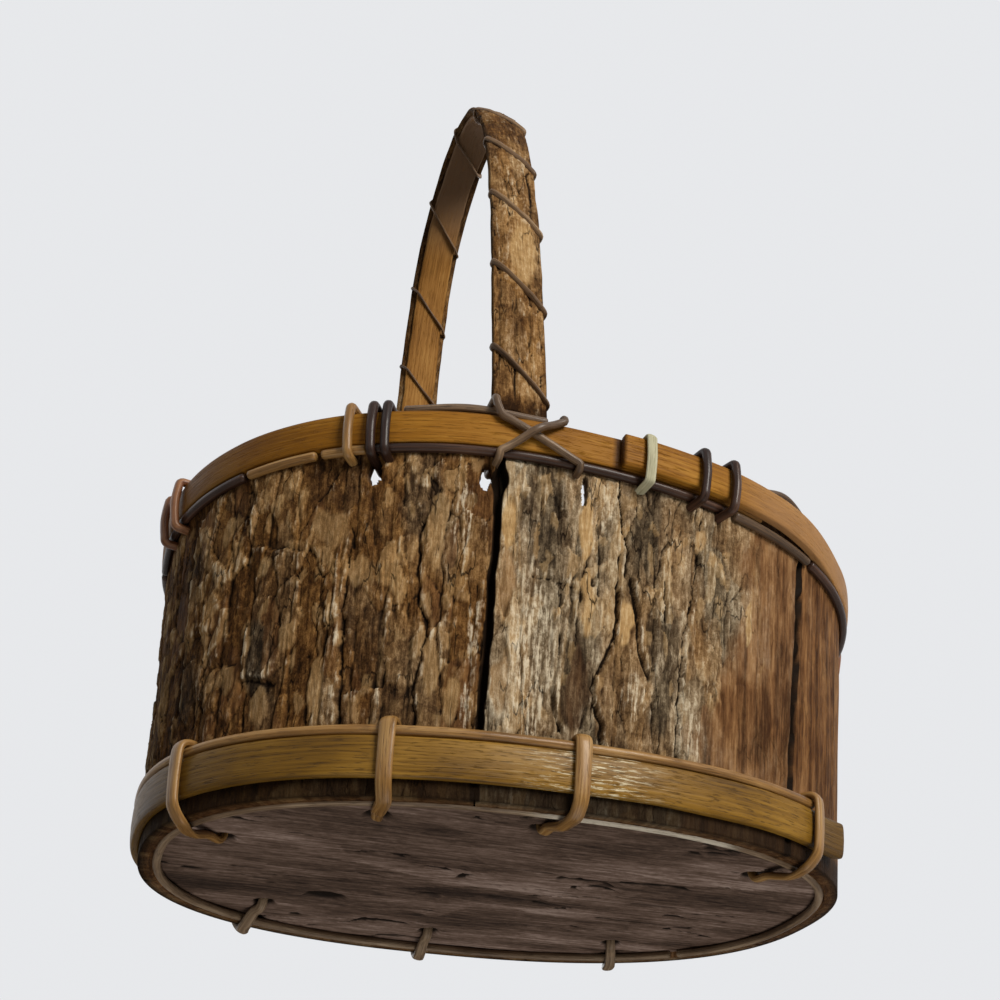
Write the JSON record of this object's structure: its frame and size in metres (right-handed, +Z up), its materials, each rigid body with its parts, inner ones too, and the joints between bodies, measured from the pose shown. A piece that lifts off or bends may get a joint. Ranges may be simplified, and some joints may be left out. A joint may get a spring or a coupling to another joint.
{
  "type": "bark basket",
  "caption": "Oval basket of bark slabs lashed with cane between split-bamboo hoops, with a bark base and a tall fixed hoop handle bound with cane.",
  "frame": {"origin": "centre of the overall box in plan, on the surface that the basket stands on", "axes": "+Z up, +X along the oval to the right, -Y towards the lapped front of the rim"},
  "size_m": [0.1815, 0.1352, 0.2519],
  "materials": {
    "bark": "rough furrowed bark, matt",
    "base_bark": "dark bark sheet, matt",
    "bamboo": "split bamboo, varnished",
    "tan_cane": "split cane, satin",
    "dark_cane": "stained cane, glossy",
    "red_cane": "reddish cane, satin",
    "pale_cane": "pale bast strip, matt"
  },
  "bodies": {
    "root": {"bark_front_left": "bark", "bark_front_right": "bark", "bark_right_end": "bark", "bark_back_right": "bark", "bark_back_left": "bark", "base_plate": "base_bark", "base_ring": "tan_cane", "foot_hoop_front": "bamboo", "foot_hoop_back": "bamboo", "foot_cane_left": "tan_cane", "foot_cane_right": "tan_cane", "foot_cane_back": "tan_cane", "tie_front_left": "tan_cane", "tie_front_mid": "tan_cane", "tie_front_right": "tan_cane", "tie_right": "tan_cane", "tie_back_right": "tan_cane", "tie_back_mid": "tan_cane", "tie_back_left": "tan_cane", "rim_outer_hoop": "bamboo", "rim_inner_hoop": "bamboo", "rim_cane_left": "dark_cane", "rim_cane_tan": "tan_cane", "rim_cane_short": "tan_cane", "rim_cane_dark": "dark_cane", "rim_cane_right": "tan_cane", "rim_cane_back_right": "dark_cane", "rim_cane_back_left": "dark_cane", "rim_top_cane_front": "tan_cane", "rim_top_cane_right": "tan_cane", "lash_left_end": "red_cane", "lash_front_tan": "tan_cane", "lash_front_dark": "dark_cane", "lash_lap": "pale_cane", "lash_front_right": "dark_cane", "lash_right_end": "red_cane", "lash_back_right": "dark_cane", "lash_back_left": "tan_cane", "handle_core": "bamboo", "handle_bark": "bark", "handle_wrap": "tan_cane", "handle_lash_front": "dark_cane", "handle_lash_back": "dark_cane"}
  },
  "joints": []
}
